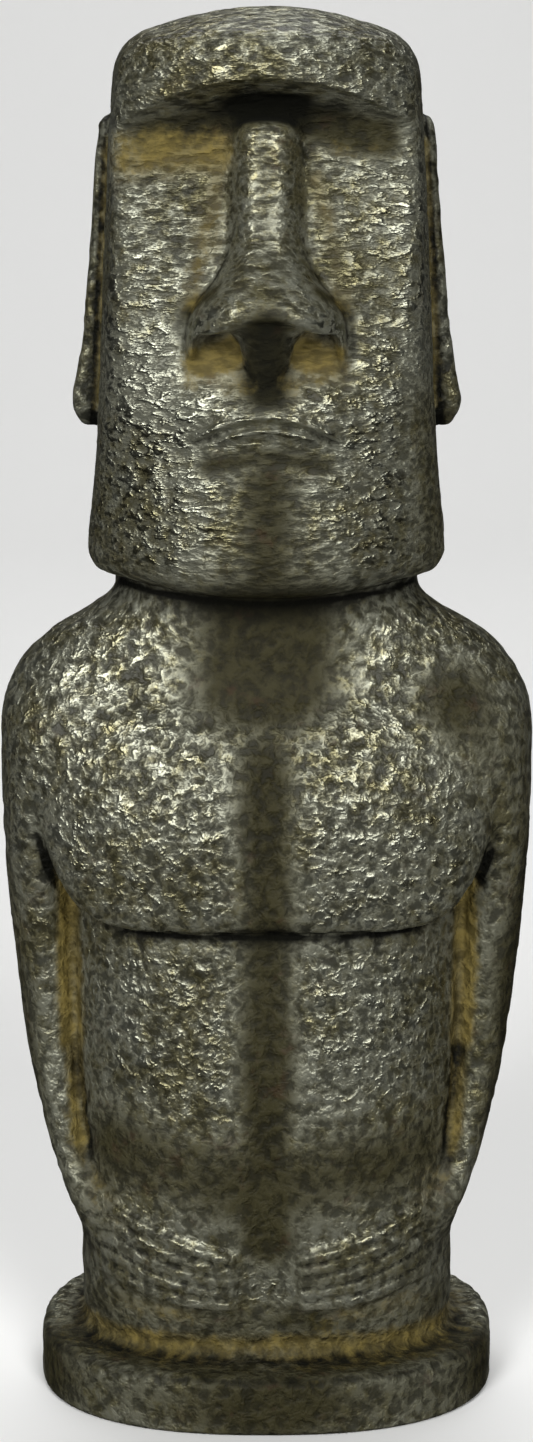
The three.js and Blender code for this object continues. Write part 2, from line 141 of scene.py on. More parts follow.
back = {
    "depth": [(6, 16.4), (14, 17.8), (24, 18.2), (42, 16.4), (60, 16.8), (78, 18.4), (90, 17.6), (98, 14.8),
              (110, 13)],
    "furrowDepth": 0.9,
    "furrowWidth": 2.6,
    "furrowRun": (12, 26, 84, 96),
    "bladeRise": 0.8,
    "bladeSide": 12,
    "bladeHalfWidth": 6,
    "bladeHeight": 80,
    "bladeReach": 9,
}
torsoWidth, torsoFront, backDepth = curve(torso["halfWidth"]), curve(torso["front"]), curve(back["depth"])


def torsoAt(side, y, z):
    depth = np.where(y < 0, torsoFront(z), backDepth(z))
    plan = oval(side, y, torsoWidth(z), depth, torso["power"])
    return trim(plan - ramp(*hand["front"], y) * handRise(side, z), z - torso["top"], torso["topRound"])


def backRelief(side, y, z):  # the furrow along the spine, less the shoulder blades
    furrow = back["furrowDepth"] * bell(side, back["furrowWidth"]) * stretch(back["furrowRun"], z)
    blades = back["bladeRise"] * bell(side - back["bladeSide"], back["bladeHalfWidth"])
    blades = blades * bell(z - back["bladeHeight"], back["bladeReach"])
    return np.where(y > 0, furrow - blades, 0)


chest = {
    "halfWidth": [(60, 33.2), (80, 33.6), (88, 33.9), (92, 33.4), (95, 32.5), (98, 30.9), (101, 27.9),
                  (104, 23.2), (107, 19.6), (112, 18)],
    "front": [(60, 20.2), (68, 21), (76, 21.3), (83, 20.2), (89, 17.9), (94, 15), (98, 13.4), (107, 12.2)],
    "power": 2.7,
    "pecLow": 64.6,
    "armpitHeight": 15.4,
    "armpitHalfWidth": 29.9,
    "pecCurve": 8,
    "pecEdge": 2.4,
    "backEdge": 14,
    "backRun": (-4, 8),
    "torsoFillet": 1,
    "valleyDepth": 0.7,
    "valleyWidth": 3.2,
    "chestValley": (66, 76, 84, 96),
    "bellyValley": (8, 20, 54, 64),
}
chestWidth, chestFront = curve(chest["halfWidth"]), curve(chest["front"])


def chestAt(side, y, z):
    depth = np.where(y < 0, chestFront(z), backDepth(z))
    plan = oval(side, y, chestWidth(z), depth, chest["power"])
    across = side / chest["armpitHalfWidth"]
    rise, bend = chest["armpitHeight"], chest["pecCurve"]
    edge = chest["pecLow"] + rise * across ** bend
    slope = rise * bend * across ** (bend - 1) / chest["armpitHalfWidth"]
    pecEdge = mix(chest["pecEdge"], chest["backEdge"], ramp(*chest["backRun"], y))
    return trim(plan, (edge - z) / np.hypot(1, slope), pecEdge)


def valley(side, y, z, run):  # the shallow hollow down the middle of the front
    return np.where(y < 0, chest["valleyDepth"] * bell(side, chest["valleyWidth"]) * stretch(run, z), 0)


arm = {
    "outer": [(20, 23.4), (24, 25.1), (28, 26.7), (34, 28.8), (40, 30.5), (46, 31.8), (56, 33.1), (66, 34.1),
              (78, 34.7), (87, 34.4), (94, 32.4), (100, 28.5)],
    "inner": [(20, 20.4), (30, 22.6), (45, 24), (66, 24.4), (80, 24), (100, 19)],
    "middle": [(20, -9.5), (26, -7.6), (32, -5), (40, -2.4), (50, -0.4), (66, 0.2), (80, -0.4), (100, 0)],
    "halfDepth": [(20, 4.4), (26, 5.4), (32, 6.4), (40, 7.8), (50, 9), (66, 10.8), (80, 12.4), (90, 11.6),
                  (100, 8)],
    "power": 2.3,
    "low": 24,
    "lowRound": 7,
    "top": 98,
    "topRound": 8,
    "wristFillet": 6,
    "wristRun": (23, 38),
    "crease": 1.1,
    "shoulderFillet": 7,
    "shoulderRun": (76, 94),
    "webSide": 25.5,
    "webHalfWidth": 3.4,
    "webShare": 0.74,
    "webPower": 4,
    "webInset": 1,
    "webFillet": 1,
}
armOuter, armInner = curve(arm["outer"]), curve(arm["inner"])
armMiddle, armDepth = curve(arm["middle"]), curve(arm["halfDepth"])


def armAt(side, y, z):  # the limb, and the web that fills the gap between it and the torso
    outer, inner = armOuter(z), armInner(z)
    forward, depth = y - armMiddle(z), armDepth(z)
    limb = oval(side - (outer + inner) / 2, forward, (outer - inner) / 2, depth, arm["power"])
    web = oval(side - arm["webSide"], forward, arm["webHalfWidth"], depth * arm["webShare"], arm["webPower"])
    both = join(limb, np.maximum(web, side - outer + arm["webInset"]), arm["webFillet"])
    return trim(trim(both, z - arm["top"], arm["topRound"]), arm["low"] - z, arm["lowRound"])


def armFillet(z):
    lower = mix(arm["wristFillet"], arm["crease"], ramp(*arm["wristRun"], z))
    return mix(lower, arm["shoulderFillet"], ramp(*arm["shoulderRun"], z))


neck = {"halfWidth": 17, "front": 13.2, "back": 13.4, "power": 2.3, "fillet": 5, "low": 88, "top": 116}


def neckAt(side, y, z):
    plan = oval(side, y, neck["halfWidth"], np.where(y < 0, neck["front"], neck["back"]), neck["power"])
    return np.maximum(np.maximum(plan, z - neck["top"]), neck["low"] - z)


# Each ridge or groove of the lips is its rise, its height above the mouth's line and its width.
mouth = {
    "line": 129.4,
    "droop": 3.3,
    "droopPower": 1.8,
    "halfSpan": 9.4,
    "corner": 0.8,
    "upperFade": (2, 0.6),
    "lowerHalfSpan": 6.4,
    "lowerFade": (1.5, 0.5),
    "upperLip": (1, 0, 0.55),
    "upperRim": (0.3, 1.15, 0.4),
    "slit": (-0.6, -0.9, 0.4),
    "lowerLip": (0.9, -1.7, 0.5),
    "muzzle": 0.8,
    "muzzleSize": (9, 5),
    "underLip": 0.8,
    "underLipDrop": 5,
    "underLipSize": (8, 2.4),
}


def lipRise(shape, above):
    rise, height, width = shape
    return rise * bell(above - height, width)


def mouthRise(side, z):
    span, short = mouth["halfSpan"], mouth["lowerHalfSpan"]
    line = mouth["line"] - mouth["droop"] * (side / (span + mouth["corner"])) ** mouth["droopPower"]
    wide = 1 - ramp(span - mouth["upperFade"][0], span + mouth["upperFade"][1], side)
    near = 1 - ramp(short - mouth["lowerFade"][0], short + mouth["lowerFade"][1], side)
    above, level = z - line, z - mouth["line"]
    upper = lipRise(mouth["upperLip"], above) * wide + lipRise(mouth["upperRim"], above) * near
    both = upper + lipRise(mouth["slit"], above) * wide + lipRise(mouth["lowerLip"], above) * near
    muzzle = mouth["muzzle"] * bell(side, mouth["muzzleSize"][0]) * bell(level, mouth["muzzleSize"][1])
    under = -mouth["underLip"] * bell(side, mouth["underLipSize"][0])
    return both + muzzle + under * bell(level + mouth["underLipDrop"], mouth["underLipSize"][1])


face = {
    "depth": [(104, 20.6), (110, 21.7), (115, 21.9), (120, 21.2), (125, 20.5), (130, 20.4), (135, 19.3),
              (141, 18), (150, 16.3), (162, 14.4), (170, 14)],
    "bow": [(104, 0.021), (112, 0.02), (130, 0.012), (145, 0.005), (162, 0.003)],
}

brow = {
    "depth": 20.9,
    "bow": 0.02,
    "lean": 0.14,
    "middle": 169.5,
    "drop": 4.2,
    "halfSpan": 17,
    "coveLow": 161.8,
    "coveCurve": 4,
}
faceDepth, faceBow = curve(face["depth"]), curve(face["bow"])


def faceFront(side, z):  # how far forward the face comes: cheeks, then the cove, then the forehead
    cheek = faceDepth(z) - faceBow(z) * side ** 2
    ledge = brow["middle"] - brow["drop"] * (side / brow["halfSpan"]) ** 2
    forehead = brow["depth"] - brow["bow"] * side ** 2 - brow["lean"] * np.maximum(z - brow["middle"], 0)
    up = np.clip((z - brow["coveLow"]) / np.maximum(ledge - brow["coveLow"], 1), 0, 1)
    return mix(cheek, forehead, up ** brow["coveCurve"]) + mouthRise(side, z)


nose = {
    "root": 11,
    "rootDepth": 3,
    "top": 165.4,
    "topRound": 3,
    "depth": [(130, 24), (136.8, 26.2), (140.3, 26.7), (142.8, 26), (145.8, 23.6), (149.6, 20.9), (154, 19.5),
              (160, 18.6), (165, 18), (172, 17)],
    "halfWidth": [(132, 10), (137.6, 10.4), (141, 10.1), (143.5, 8.7), (146, 6.7), (149, 5.3), (152, 4.8),
                  (165, 4.5), (172, 4.4)],
    "power": 2.8,
    "rim": 141,
    "wingDrop": 3.2,
    "wingSpan": 10.2,
    "underSlope": 0.3,
    "tip": 26.4,
    "edge": 1.2,
    "septumFront": (20.8, 141),
    "septumBack": (18.4, 134.4),
    "septumRadii": (4, 2.6),
    "septumFillet": 0.8,
    "nostrilPlace": (6.2, 20.8, 137.6),
    "nostrilRadii": (2.6, 3.6, 2.8),
    "nostrilEdge": 1,
    "fillets": (0.6, 1.6),
    "filletRun": (142, 160),
}
noseDepth, noseWidth = curve(nose["depth"]), curve(nose["halfWidth"])


def noseAt(side, y, z):
    forward = np.minimum(y + nose["root"], 0)
    plan = oval(side, forward, noseWidth(z), noseDepth(z) - nose["root"], nose["power"])
    kept = np.maximum(plan, y + nose["root"] - nose["rootDepth"])
    bridge = trim(kept, z - nose["top"], nose["topRound"])
    drop = nose["wingDrop"] * (side / nose["wingSpan"]) ** 2 + nose["underSlope"] * (y + nose["tip"])
    wings = trim(bridge, nose["rim"] - drop - z, nose["edge"])
    place, radii = nose["nostrilPlace"], nose["nostrilRadii"]
    inside = np.sqrt(((side - place[0]) / radii[0]) ** 2 + ((y + place[1]) / radii[1]) ** 2
                     + ((z - place[2]) / radii[2]) ** 2)
    hollowed = trim(wings, (1 - inside) * radii[2], nose["nostrilEdge"])
    (frontY, frontZ), (backY, backZ) = nose["septumFront"], nose["septumBack"]
    runY, runZ = frontY - backY, frontZ - backZ
    t = np.clip(((-y - backY) * runY + (z - backZ) * runZ) / (runY ** 2 + runZ ** 2), 0, 1)
    off = np.sqrt(side ** 2 + (-y - backY - t * runY) ** 2 + (z - backZ - t * runZ) ** 2)
    return join(hollowed, off - mix(nose["septumRadii"][1], nose["septumRadii"][0], t), nose["septumFillet"])


ear = {
    "low": 127.4,
    "high": 166.8,
    "middle": 1.2,
    "halfDepth": 4.6,
    "round": 3.4,
    "outer": [(124, 22.6), (128, 24.2), (130.7, 25), (134, 24.4), (140, 23.5), (150, 22.6), (162, 21.6),
              (168, 21)],
    "hollow": 0.9,
    "rim": 1.5,
    "lobe": (6, 9),
    "edge": 1.2,
    "fillet": 0.7,
}
earOuter = curve(ear["outer"])


def earAt(side, y, z):
    halfHeight, middle = (ear["high"] - ear["low"]) / 2, (ear["high"] + ear["low"]) / 2
    dy = np.abs(y - ear["middle"]) - ear["halfDepth"] + ear["round"]
    dz = np.abs(z - middle) - halfHeight + ear["round"]
    outline = np.hypot(np.maximum(dy, 0), np.maximum(dz, 0)) + np.minimum(np.maximum(dy, dz), 0)
    outline = outline - ear["round"]
    lobeLow, lobeHigh = ear["low"] + ear["lobe"][0], ear["low"] + ear["lobe"][1]
    bowl = ear["hollow"] * ramp(-ear["rim"], -ear["rim"] - 1, outline) * ramp(lobeLow, lobeHigh, z)
    return trim(outline, side - earOuter(z) + bowl, ear["edge"])


head = {
    "halfWidth": [(100, 22.2), (107, 22.9), (112.5, 23), (120, 22.3), (127, 21.7), (140, 21.1), (155, 20.4),
                  (168, 19.6), (176, 18.9), (182, 18.4)],
    "sideDepth": 24,
    "back": [(98, 12), (108, 13.6), (118, 15.6), (132, 16.8), (150, 17.4), (166, 17.2), (176, 16.2),
             (182, 15.4)],
    "power": 3.2,
    "centre": 1,
    "top": 180,
    "domeAcross": 80,
    "domeAlong": 90,
    "domeEdge": 4,
    "chin": 106.7,
    "chinRise": 0.006,
    "chinEdge": 2.4,
    "napeEdge": 14,
    "napeRun": (-9, 8),
    "faceSlope": 0.9,
    "faceEdges": (5, 1.6),
    "faceRun": (112, 138),
    "neckFillets": (1.2, 6),
    "neckRun": (-6, 8),
}
headWidth, headBack = curve(head["halfWidth"]), curve(head["back"])


def headAt(side, y, z):
    forward = y - head["centre"]
    depth = np.where(forward < 0, head["sideDepth"], headBack(z))
    sides = oval(side, forward, headWidth(z), depth, head["power"])
    dome = head["top"] - side ** 2 / head["domeAcross"] - forward ** 2 / head["domeAlong"]
    chinRound = mix(head["chinEdge"], head["napeEdge"], ramp(*head["napeRun"], y))
    chin = head["chin"] + head["chinRise"] * side ** 2
    block = trim(trim(sides, z - dome, head["domeEdge"]), chin - z, chinRound)
    faceEdge = mix(*head["faceEdges"], ramp(*head["faceRun"], z))
    skull = trim(block, (-y - faceFront(side, z)) * head["faceSlope"], faceEdge)
    withNose = join(skull, noseAt(side, y, z), mix(*nose["fillets"], ramp(*nose["filletRun"], z)))
    return join(withNose, earAt(side, y, z), ear["fillet"])


# A member is worked out only where the heights in hand come within its reach.
reach = {"baseTop": 18, "torsoTop": 92, "chest": (54, 116), "arm": (12, 106), "backTop": 100,
         "neck": (84, 124), "headLow": 96}


def figureAt(x, y, z):
    side = np.abs(x)
    low, high = z.min(), z.max()

    def near(member):
        return high > reach[member][0] and low < reach[member][1]

    found = np.full(np.broadcast(side, y, z).shape, 1e3)
    if low < reach["baseTop"]:
        found = baseAt(side, y, z)
    if low < reach["torsoTop"]:
        found = join(found, torsoAt(side, y, z), torso["baseFillet"])
        found = found + valley(side, y, z, chest["bellyValley"])
    if near("chest"):
        chestForm = chestAt(side, y, z) + valley(side, y, z, chest["chestValley"])
        found = join(found, chestForm, chest["torsoFillet"])
    if near("arm"):
        found = join(found, armAt(side, y, z), armFillet(z))
    if low < reach["backTop"]:
        found = found + backRelief(side, y, z)
    if near("neck"):
        found = join(found, neckAt(side, y, z), neck["fillet"])
    if high > reach["headLow"]:
        found = join(found, headAt(side, y, z), mix(*head["neckFillets"], ramp(*head["neckRun"], y)))
    return np.maximum(found, -z)


def distanceAt(points):  # the form's distance at loose points, worked out in bands of height
    order, perBand = np.argsort(points[:, 2]), 12000
    found = np.empty(len(points))
    for part in np.array_split(order, max(len(points) // perBand, 1)):
        x, y, z = points[part].T
        found[part] = figureAt(x, y, z)
    return found


def slopeAt(points, step=0.05):  # the distance there and how it changes
    here = distanceAt(points)
    slope = np.stack([distanceAt(points + step * axis) - here for axis in np.eye(3)], 1) / step
    return here, slope


def unitOf(slope):
    return slope / np.maximum(np.linalg.norm(slope, axis=1), 1e-6)[:, None]


def surfaceNet(values, lines):  # one point for each grid cell that the surface crosses
    inside = values < 0
    corners = [(i & 1, (i >> 1) & 1, i >> 2) for i in range(8)]
    shape = [n - 1 for n in values.shape]
    crowd = sum(inside[a:a + shape[0], b:b + shape[1], c:c + shape[2]].astype(np.int8) for a, b, c in corners)
    cells = np.argwhere((crowd > 0) & (crowd < 8))
    number = np.full(shape, -1, np.int32)
    number[tuple(cells.T)] = np.arange(len(cells))
    at = [values[cells[:, 0] + a, cells[:, 1] + b, cells[:, 2] + c] for a, b, c in corners]
    total, count = np.zeros((len(cells), 3)), np.zeros(len(cells))
    for i in range(8):
        for bit in (1, 2, 4):
            if i & bit:
                continue
            va, vb = at[i], at[i | bit]
            crossed = (va < 0) != (vb < 0)
            t = np.where(crossed, va / np.where(crossed, va - vb, 1), 0)[:, None]
            place = mix(np.array(corners[i], float), np.array(corners[i | bit], float), t)
            total += place * crossed[:, None]
            count += crossed
    share = total / count[:, None]
    low, high = ([lines[n][cells[:, n] + step] for n in range(3)] for step in (0, 1))
    points = np.stack([mix(low[n], high[n], share[:, n]) for n in range(3)], 1)

    quads = []
    for axis in range(3):
        u, w = (axis + 1) % 3, (axis + 2) % 3
        here, ahead = [slice(1, -1)] * 3, [slice(1, -1)] * 3
        here[axis], ahead[axis] = slice(0, -1), slice(1, None)
        start = np.argwhere(inside[tuple(here)] != inside[tuple(ahead)])
        start += [0 if n == axis else 1 for n in range(3)]
        leaving = inside[tuple(start.T)]
        stepU, stepW = np.eye(3, dtype=int)[u], np.eye(3, dtype=int)[w]
        ring = [number[tuple((start - shift).T)] for shift in (0 * stepU, stepU, stepU + stepW, stepW)]
        quad = np.stack(ring, 1)
        quad[~leaving] = quad[~leaving][:, ::-1]
        quads.append(quad)
    return points, np.concatenate(quads)


def untie(values):  # fills an outside corner where a grid face would tie two sheets together
    inside = values < 0
    passes = 8
    for _ in range(passes):
        ties = 0
        for u, w in ((0, 1), (1, 2), (2, 0)):
            def view(stepU, stepW):
                cut = [slice(None)] * 3
                cut[u] = slice(1, None) if stepU else slice(0, -1)
                cut[w] = slice(1, None) if stepW else slice(0, -1)
                return tuple(cut)
            a, b, c, d = (inside[view(*steps)] for steps in ((0, 0), (1, 1), (1, 0), (0, 1)))
            tied = (a == b) & (c == d) & (a != c)
            ties += tied.sum()
            for outside, steps in ((tied & ~a, (0, 0)), (tied & ~c, (1, 0))):
                inside[view(*steps)] |= outside
        if not ties:
            break
    values[inside & (values >= 0)] = -1e-4


def lattice(points, size, seed):  # smooth noise from -1 to 1 whose lumps are about size wide
    wrap, shift = 64, 200.5
    grid = np.random.default_rng(seed).uniform(-1, 1, (wrap, wrap, wrap))
    spot = points / size + shift
    cell = np.floor(spot).astype(int)
    t = spot - cell
    t = t * t * (3 - 2 * t)
    shares = (1 - t, t)
    total = 0
    for a in (0, 1):
        for b in (0, 1):
            for c in (0, 1):
                weight = shares[a][:, 0] * shares[b][:, 1] * shares[c][:, 2]
                x, y, z = ((cell + (a, b, c)) % wrap).T
                total = total + weight * grid[x, y, z]
    return total


# How much smoother the skin is on the nose, neck, lips and hands than on the rest, and where they are.
smoothing = {
    "nose": 0.7,
    "noseMargin": 1.5,
    "noseFront": -15,
    "noseHeights": (133, 168),
    "neck": 0.75,
    "neckRun": (92, 95, 107, 109),
    "neckSides": (11, 15),
    "neckSpread": 0.35,
    "neckWaist": 94,
    "neckBack": 4,
    "lips": 0.5,
    "lipHeight": 128.5,
    "lipReach": 2.4,
    "lipHalfSpan": 9,
    "hands": 0.5,
    "handRun": (12, 15, 24, 28),
    "handSides": (2, 4, 20, 23),
    "handFront": -8,
}


def hammeringAt(points):  # 1 where the skin is fully hammered
    x, y, z = points.T
    side = np.abs(x)
    noseLow, noseHigh = smoothing["noseHeights"]
    onNose = (side < noseWidth(z) + smoothing["noseMargin"]) & (y < smoothing["noseFront"])
    onNose = onNose & (z > noseLow) & (z < noseHigh)
    flared = side - smoothing["neckSpread"] * (z - smoothing["neckWaist"])
    onNeck = stretch(smoothing["neckRun"], z) * (1 - ramp(*smoothing["neckSides"], flared))
    onNeck = onNeck * (y < smoothing["neckBack"]) * (1 - onNose)
    onLips = bell(z - smoothing["lipHeight"], smoothing["lipReach"])
    onLips = onLips * (side < smoothing["lipHalfSpan"]) * (y < 0)
    onHands = stretch(smoothing["handRun"], z) * stretch(smoothing["handSides"], side)
    onHands = onHands * (y < smoothing["handFront"])
    smoothed = smoothing["nose"] * onNose + smoothing["neck"] * onNeck
    return 1 - smoothed - smoothing["lips"] * onLips - smoothing["hands"] * onHands


# How finely the figure is meshed, and the hammering of its skin: dimples with swells beneath them. The skin
# is sunk a little, so that its high spots stay inside the solid's box.
skin = {
    "cell": 0.42,
    "gridSide": 37,
    "gridDepth": (-29.5, 27.5),
    "gridHeight": (-1.3, 182.5),
    "slab": 8,  # how many layers of the grid are worked out at once
    "settlings": 2,  # how often the points are moved onto the form
    "longestMove": 0.3,
    "leastSlope": 0.2,
    "faces": 194000,
    "dimpleSize": 2.2,
    "dimpleDepth": 0.12,
    "dimpleLevel": 0.6,
    "dimpleWarp": 0.5,
    "faceStretch": (0.62, 1, 1.25),
    "faceFront": -8,
    "faceLow": 104,
    "swellSize": 5.0,
    "swellDepth": 0.08,
    "sink": 0.085,
    "flatBelow": (0.05, 1.5),
    "underside": 0.04,
    "seed": 7,
}


def hammered(points, normals):
    onFace = ((points[:, 1] < skin["faceFront"]) & (points[:, 2] > skin["faceLow"]))[:, None]
    stretched = points * np.where(onFace, skin["faceStretch"], (1, 1, 1))
    size, seed = skin["dimpleSize"], skin["seed"]
    warp = np.stack([lattice(stretched, size * 2, seed + 10 + n) for n in range(3)], 1)
    wrinkles = 1 - 2 * np.abs(lattice(stretched + skin["dimpleWarp"] * warp, size, seed))
    dimples = skin["dimpleDepth"] * (wrinkles - skin["dimpleLevel"]) * hammeringAt(points)
    swells = skin["swellDepth"] * lattice(points, skin["swellSize"], seed + 1)
    settled = ramp(*skin["flatBelow"], points[:, 2])  # the underside stays flat
    return points + normals * ((dimples + swells - skin["sink"]) * settled)[:, None]


def meshPiece(name, points, quads):
    mesh = bpy.data.meshes.new(name)
    mesh.from_pydata((points / 1000).tolist(), [], quads.tolist())
    mesh.update()
    piece = bpy.data.objects.new(name, mesh)
    bpy.context.scene.collection.objects.link(piece)
    return piece


def thinTo(piece, faces):  # keeps the wanted number of triangles
    piece.data.update()
    thin = piece.modifiers.new("thin", "DECIMATE")
    thin.ratio = min(1, faces / (2 * len(piece.data.polygons)))
    thin.use_collapse_triangulate = True
    graph = bpy.context.evaluated_depsgraph_get()
    thinned = bpy.data.meshes.new_from_object(piece.evaluated_get(graph))
    piece.modifiers.clear()
    piece.data = thinned


def figurePoints():  # the grid is worked out for one half, and the other half is its mirror
    cell, slab = skin["cell"], skin["slab"]
    halfX = np.arange(cell / 2, skin["gridSide"], cell)
    spans = (skin["gridDepth"], skin["gridHeight"])
    alongY, alongZ = (np.arange(low, high + cell, cell) for low, high in spans)
    half = np.empty((len(halfX), len(alongY), len(alongZ)), np.float32)
    for k in range(0, len(alongZ), slab):
        layers = alongZ[None, None, k:k + slab]
        half[:, :, k:k + slab] = figureAt(halfX[:, None, None], alongY[None, :, None], layers)
    values = np.concatenate([half[::-1], half])
    untie(values)
    points, quads = surfaceNet(values, [np.concatenate([-halfX[::-1], halfX]), alongY, alongZ])
    for _ in range(skin["settlings"]):
        here, slope = slopeAt(points)
        steep = np.maximum((slope ** 2).sum(1), skin["leastSlope"])
        points -= slope * (np.clip(here, -skin["longestMove"], skin["longestMove"]) / steep)[:, None]
    return points, quads


points, quads = figurePoints()
print("form meshed:", len(points), "points")

points = hammered(points, unitOf(slopeAt(points)[1]))
points[:, 2] = np.where(points[:, 2] < skin["underside"], 0, points[:, 2])
figure = meshPiece("moaiFigure", points, quads)
thinTo(figure, skin["faces"])
figure.data.shade_smooth()
print("skin hammered:", len(figure.data.polygons), "faces")

# Where the patina gathers and where light and shade are painted, in millimetres. Each run has a side, a
# start, an end, a radius and a strength. Ochre wash lies along the first runs. Along the next ones the skin
# is left brown, darker and unrubbed as painted shade where shade falls. Along the ones after those it is
# rubbed to bright metal as painted highlight where highlights fall, and along the last ones it is painted
# nearly black as painted shadow.
bothSides, minusX, plusX = 0, -1, 1
wash = {
    "narrow": 1.3,  # how far off the skin a crease is felt, and how far under it a ridge
    "wide": 4.5,  # how far off the skin a hollow is felt
    "creaseRange": (0.1, 0.55),
    "hollowRange": (0.05, 0.75),
    "ridgeRange": (0.2, 0.75),
    "faceFront": (-6, -9),
    "faceLow": (106, 110),
    "footHeight": 9.4,  # the ochre ring round the foot
    "footReach": 2.0,
    "footHollow": (0.02, 0.3),
    "footStrength": 0.6,
    "edgeBelow": 9,  # the dark edge of the base
    "edgeRange": (0.25, 0.6),
    "edgeDarkening": 0.9,
    "lipHeight": 128.5,  # the lips and fingers get less painted shade in their creases
    "lipReach": 3,
    "lipHalfSpan": 10,
    "lipCrease": 0.6,
    "lipHollow": 0.5,
    "fingerLow": (12, 15),
    "fingerHigh": (28, 25),
    "fingerFront": -8,
    "fingerCrease": 0.4,
    "ochre": {
        "armGap": (bothSides, (25.4, -9, 48), (26.2, -8.5, 73), 1.9, 1.0),
        "lowerArmGap": (bothSides, (24.6, -10, 30), (25.4, -9, 50), 1.5, 0.7),
        "underPec": (bothSides, (24.5, -12, 65.5), (20, -15, 63.5), 1.8, 0.4),
        "nostril": (bothSides, (4.6, -18.5, 137), (8.2, -20, 136), 2.6, 1.0),
        "underNostril": (bothSides, (3.5, -19.5, 133), (9, -18, 134), 2.6, 0.45),
        "besideNose": (bothSides, (6.2, -15.5, 158), (9.5, -18, 143.5), 1.9, 0.65),
        "underBrow": (minusX, (6, -14, 161), (16.5, -12, 160.5), 3.6, 0.75),
        "besideBridge": (minusX, (6.5, -15, 158), (7.5, -16, 150), 3.0, 0.5),
        "underOtherBrow": (plusX, (6, -14, 161), (16, -12, 161), 2.0, 0.35),
        "aboveWing": (plusX, (8.5, -17, 150), (10, -18, 144), 3.0, 0.5),
        "beforeEar": (bothSides, (20.2, -4.2, 163), (21.6, -4.2, 130), 1.1, 0.8),
        "underHand": (bothSides, (19, -14, 15), (8, -19, 13), 2.2, 0.4),
        "wrist": (bothSides, (22, -12.5, 30), (19, -15, 26), 3.4, 0.35),
        "aboveWrist": (plusX, (20, -14, 31), (23, -12, 36), 4.0, 0.3),
        "shoulder": (bothSides, (29, -10, 88), (31, -8, 76), 4.5, 0.16),
    },
    # painted shade: the skin is left brown, darker and unrubbed where shade falls, as down the middle of the
    # front, under the chin, nose, lips and pecs, and more on the +x side
    "paintedShade": {
        "middle": (bothSides, (0, -19, 24), (0, -20, 90), 4.6, 0.85),
        "throat": (bothSides, (0, -13, 97), (0, -13, 108), 10.5, 1.0),
        "chin": (bothSides, (0, -22, 110), (0, -21, 121), 5.0, 0.75),
        "browCove": (bothSides, (0, -15, 166), (14, -14, 163), 3.0, 0.9),
        "septum": (bothSides, (0, -25, 140), (0, -20, 133), 3.4, 1.0),
        "lowBelly": (bothSides, (0, -19, 32), (20, -15, 35), 8.0, 0.72),
        "underHands": (bothSides, (0, -19, 13), (24, -10, 13), 4.0, 0.6),
        "flank": (bothSides, (25, -8, 24), (24, 8, 20), 9.0, 0.6),
        "arm": (bothSides, (32, -6, 70), (29, -6, 34), 4.5, 0.6),
        "baseFront": (bothSides, (0, -25, 4), (27, -10, 4), 7.0, 0.85),
        "underPecs": (bothSides, (0, -17, 68), (22, -15, 66), 2.0, 0.6),
        "jaw": (plusX, (21, -14, 130), (22, -12, 112), 5.0, 0.6),
        "shoulder": (plusX, (24, -12, 93), (33, -4, 70), 7.0, 0.75),
        "foot": (bothSides, (14, -14, 8), (24, -8, 14), 5.0, 0.5),
        "noseWing": (bothSides, (6, -21, 143.5), (10, -15, 141.5), 2.2, 0.85),
        "underLip": (bothSides, (0, -20.5, 124.6), (7, -19.5, 123.4), 1.8, 0.7),
        "noseBridge": (bothSides, (0, -19, 160), (0, -23, 147), 4.0, 0.36),
        "otherArm": (plusX, (33, -6, 74), (30, -6, 36), 6.0, 0.8),
        "hands": (bothSides, (6, -18, 20), (20, -14, 20), 4.0, 0.4),
        "otherHand": (plusX, (6, -18, 20), (20, -14, 20), 4.0, 0.55),
    },
    # painted highlights: the skin is rubbed to bright metal where the lamps' highlights fall on the cheeks,
    # chin, nose tip and lips
    "paintedHighlight": {
        "highCheek": (plusX, (13, -15, 157), (16, -15, 145), 6.0, 0.7),
        "cheek": (minusX, (15, -17, 142), (13, -20, 116), 7.0, 0.7),
        "otherCheek": (plusX, (15, -18, 138), (14, -20, 116), 6.0, 0.25),
        "besideChin": (minusX, (9.5, -21.5, 115), (10.5, -21.5, 109), 4.2, 1.0),
        "noseTip": (bothSides, (1, -26.5, 139.8), (7, -23.5, 138.8), 1.1, 0.9),
        "upperLip": (bothSides, (0, -21.5, 129.5), (8.5, -20, 127), 0.7, 1.0),
        "lowerLip": (bothSides, (0, -21.5, 127.5), (6, -20.6, 126.2), 0.6, 1.0),
    },
    # painted shadow: nearly black under the nose, between and above the lips, under the brow and under the
    # chin
    "paintedShadow": {
        "septum": (bothSides, (0, -24, 139.5), (0, -20, 133), 3.2, 1.0),
        "aboveLips": (bothSides, (4, -16.5, 131.4), (0, -17, 131.4), 1.2, 0.6),
        "betweenLips": (bothSides, (0, -21, 128.5), (8.8, -19.2, 125.6), 0.4, 0.8),
        "wingEnd": (bothSides, (10.1, -18, 139.4), (10.2, -15, 136), 1.1, 0.75),
        "noseRoot": (bothSides, (0, -16, 166.5), (9, -16, 166), 2.4, 0.9),
        "underChin": (bothSides, (0, -16, 106), (16, -14, 107.5), 2.4, 0.8),
    },
}


def runsOver(points, runs):  # a run's strength along it, fading out about its radius away
    folded = np.abs(points) * [1, 0, 0] + points * [0, 1, 1]
    found = np.zeros(len(points))
    for side, start, end, radius, strength in runs.values():
        start, end = np.array(start, float), np.array(end, float)
        along = end - start
        t = np.clip((folded - start) @ along / (along @ along), 0, 1)
        share = bell(np.linalg.norm(folded - start - t[:, None] * along, axis=1), radius)
        onSide = 1 if side == bothSides else points[:, 0] * side > 0
        found = np.maximum(found, strength * share * onSide)
    return found


